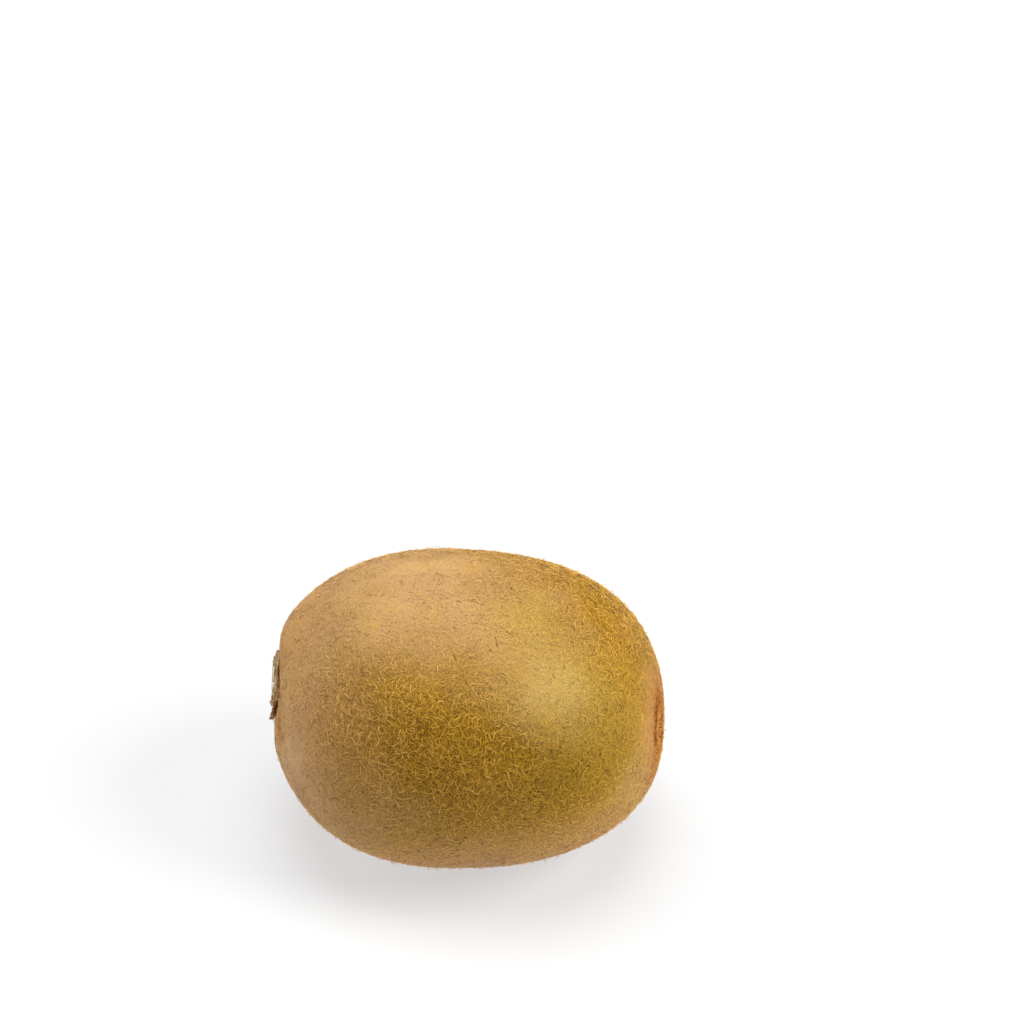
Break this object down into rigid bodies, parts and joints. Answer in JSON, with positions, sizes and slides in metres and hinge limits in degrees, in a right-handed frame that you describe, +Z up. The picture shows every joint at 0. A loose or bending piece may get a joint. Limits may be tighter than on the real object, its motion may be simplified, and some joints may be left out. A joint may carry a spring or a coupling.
{
  "type": "kiwi fruit",
  "caption": "Whole fuzzy-skinned kiwi fruit lying on its side, with a dried calyx in its stem end and dried styles in its blossom end.",
  "frame": {"origin": "under the middle of the whole object, on the surface that it lies on", "axes": "+X from the stem end to the blossom end, +Z up, so the fruit lies on its side on its small flat spot"},
  "size_m": [0.067, 0.0552, 0.0515],
  "materials": {
    "skin": "thin brown-green skin, matt, under short curly tan hairs",
    "calyx": "dry and papery, grey-brown, matt",
    "styles": "dry dark-brown threads, matt"
  },
  "bodies": {
    "root": {"fruit": "skin", "calyx": "calyx", "style_tuft": "styles"}
  },
  "joints": []
}
